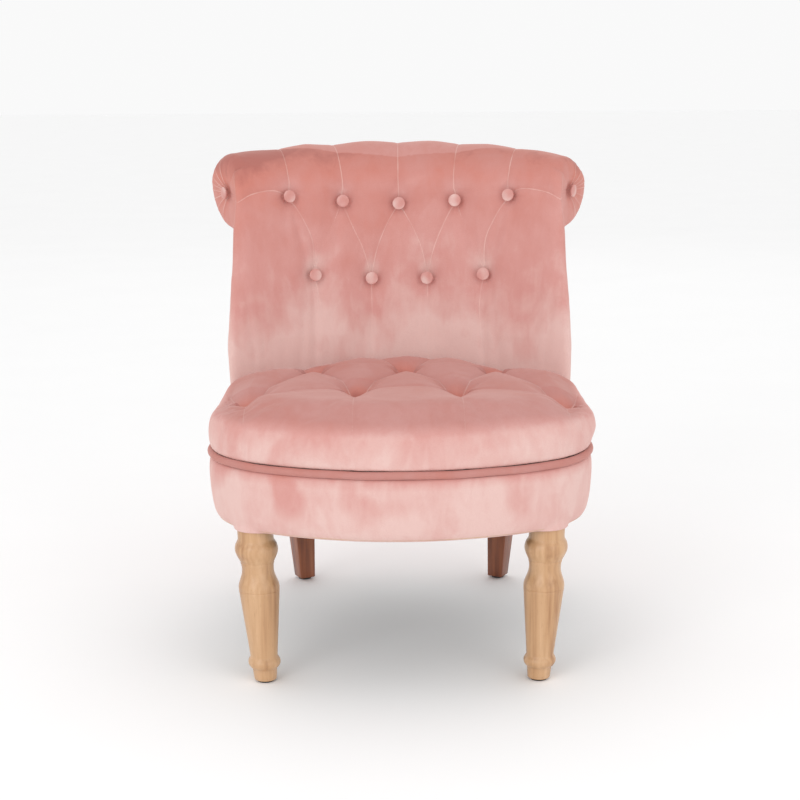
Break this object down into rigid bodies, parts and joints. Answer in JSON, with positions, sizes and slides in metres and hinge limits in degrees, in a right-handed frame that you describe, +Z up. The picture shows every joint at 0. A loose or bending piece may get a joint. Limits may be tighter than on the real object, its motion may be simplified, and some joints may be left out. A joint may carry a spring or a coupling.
{
  "type": "slipper chair",
  "caption": "Armless slipper chair with a scrolled, buttoned velvet back, a deep tufted piped seat, turned front legs and raked square rear legs.",
  "frame": {"origin": "on the floor under the middle of the chair's bounding box", "axes": "+Z up, the sitter faces -Y, +X to the right seen from the front"},
  "size_m": [0.6104, 0.6634, 0.745],
  "materials": {
    "velvet": "blush velvet with a brushed nap",
    "frame_wood": "sawn softwood, unfinished",
    "pale_leg_wood": "turned pale hardwood, satin lacquer",
    "brown_leg_wood": "reddish brown stain, satin lacquer",
    "foam": "open-cell foam",
    "wadding": "white polyester wadding",
    "webbing": "black elastic webbing",
    "card": "plain board",
    "dust_cloth": "black non-woven cloth",
    "felt": "grey needled felt",
    "spring_steel": "oiled spring wire",
    "zinc_steel": "zinc plated",
    "glide_plastic": "dark moulded plastic",
    "twine": "waxed tufting twine"
  },
  "bodies": {
    "root": {"back_button_ties_lower": "twine", "back_button_ties_upper": "twine", "back_buttons_lower": "velvet", "back_buttons_upper": "velvet", "back_foam": "foam", "back_post_left": "frame_wood", "back_post_right": "frame_wood", "back_top_rail": "frame_wood", "back_wadding": "wadding", "back_webbing": "webbing", "base_border": "velvet", "base_wadding": "wadding", "dust_cover": "dust_cloth", "foot_glides": "glide_plastic", "front_corner_block_left": "frame_wood", "front_corner_block_right": "frame_wood", "front_leg_left": "pale_leg_wood", "front_leg_right": "pale_leg_wood", "front_leg_tee_nuts": "zinc_steel", "front_rail": "frame_wood", "inside_back_cover": "velvet", "left_rail": "frame_wood", "leg_bolts": "zinc_steel", "lumbar_rail": "frame_wood", "outside_back_cover": "velvet", "outside_back_wadding": "wadding", "rear_corner_block_left": "frame_wood", "rear_corner_block_right": "frame_wood", "rear_leg_inserts": "zinc_steel", "rear_leg_left": "brown_leg_wood", "rear_leg_right": "brown_leg_wood", "rear_rail": "frame_wood", "right_rail": "frame_wood", "scroll_core": "card", "scroll_cover": "velvet", "scroll_end_buttons": "velvet", "scroll_end_cover_left": "velvet", "scroll_end_cover_right": "velvet", "scroll_end_disc_left": "frame_wood", "scroll_end_disc_right": "frame_wood", "scroll_end_pad_left": "foam", "scroll_end_pad_right": "foam", "scroll_foam": "foam", "scroll_wadding": "wadding", "seat_cover": "velvet", "seat_foam": "foam", "seat_piping": "velvet", "seat_tuft_ties": "twine", "seat_tuft_toggles": "glide_plastic", "seat_wadding": "wadding", "spring_clips": "spring_steel", "spring_felt": "felt", "tack_strip": "card", "zigzag_springs": "spring_steel"}
  },
  "joints": []
}
